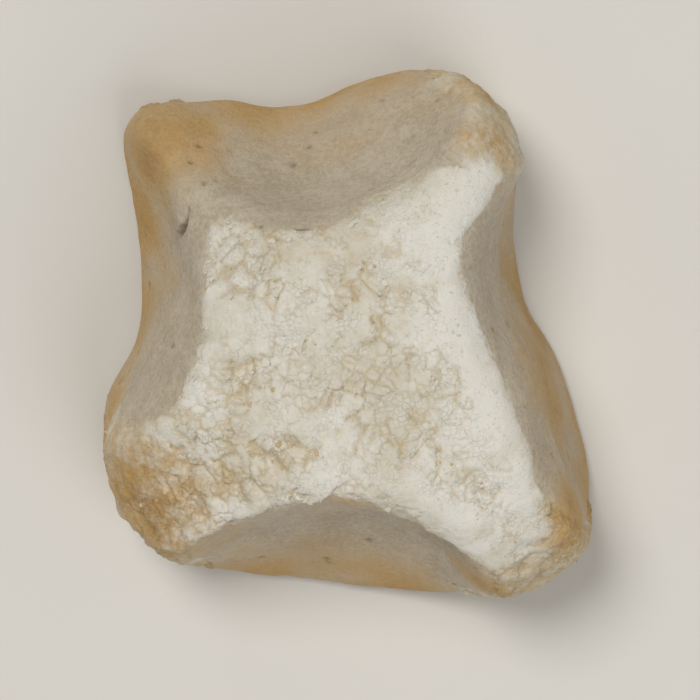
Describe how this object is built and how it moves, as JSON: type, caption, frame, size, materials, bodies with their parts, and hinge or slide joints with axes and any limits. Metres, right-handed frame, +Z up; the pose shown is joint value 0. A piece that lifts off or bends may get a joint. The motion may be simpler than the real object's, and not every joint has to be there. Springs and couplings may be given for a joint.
{
  "type": "amaretti cookie",
  "caption": "Soft almond biscuit: a low pillow of dough pinched between fingers, with smooth hollows between rounded lobes, a flat base and a cracked sugar crust on its crown.",
  "frame": {"origin": "on the flat base that the biscuit rests on, at the middle of its bounding box", "axes": "+Z up to the sugared crown, +Y to the back, away from the widest finger hollow, +X to the right"},
  "size_m": [0.0454, 0.0494, 0.0235],
  "materials": {
    "sugar_crust": "matte"
  },
  "bodies": {
    "root": {"biscuit": "sugar_crust"}
  },
  "joints": []
}
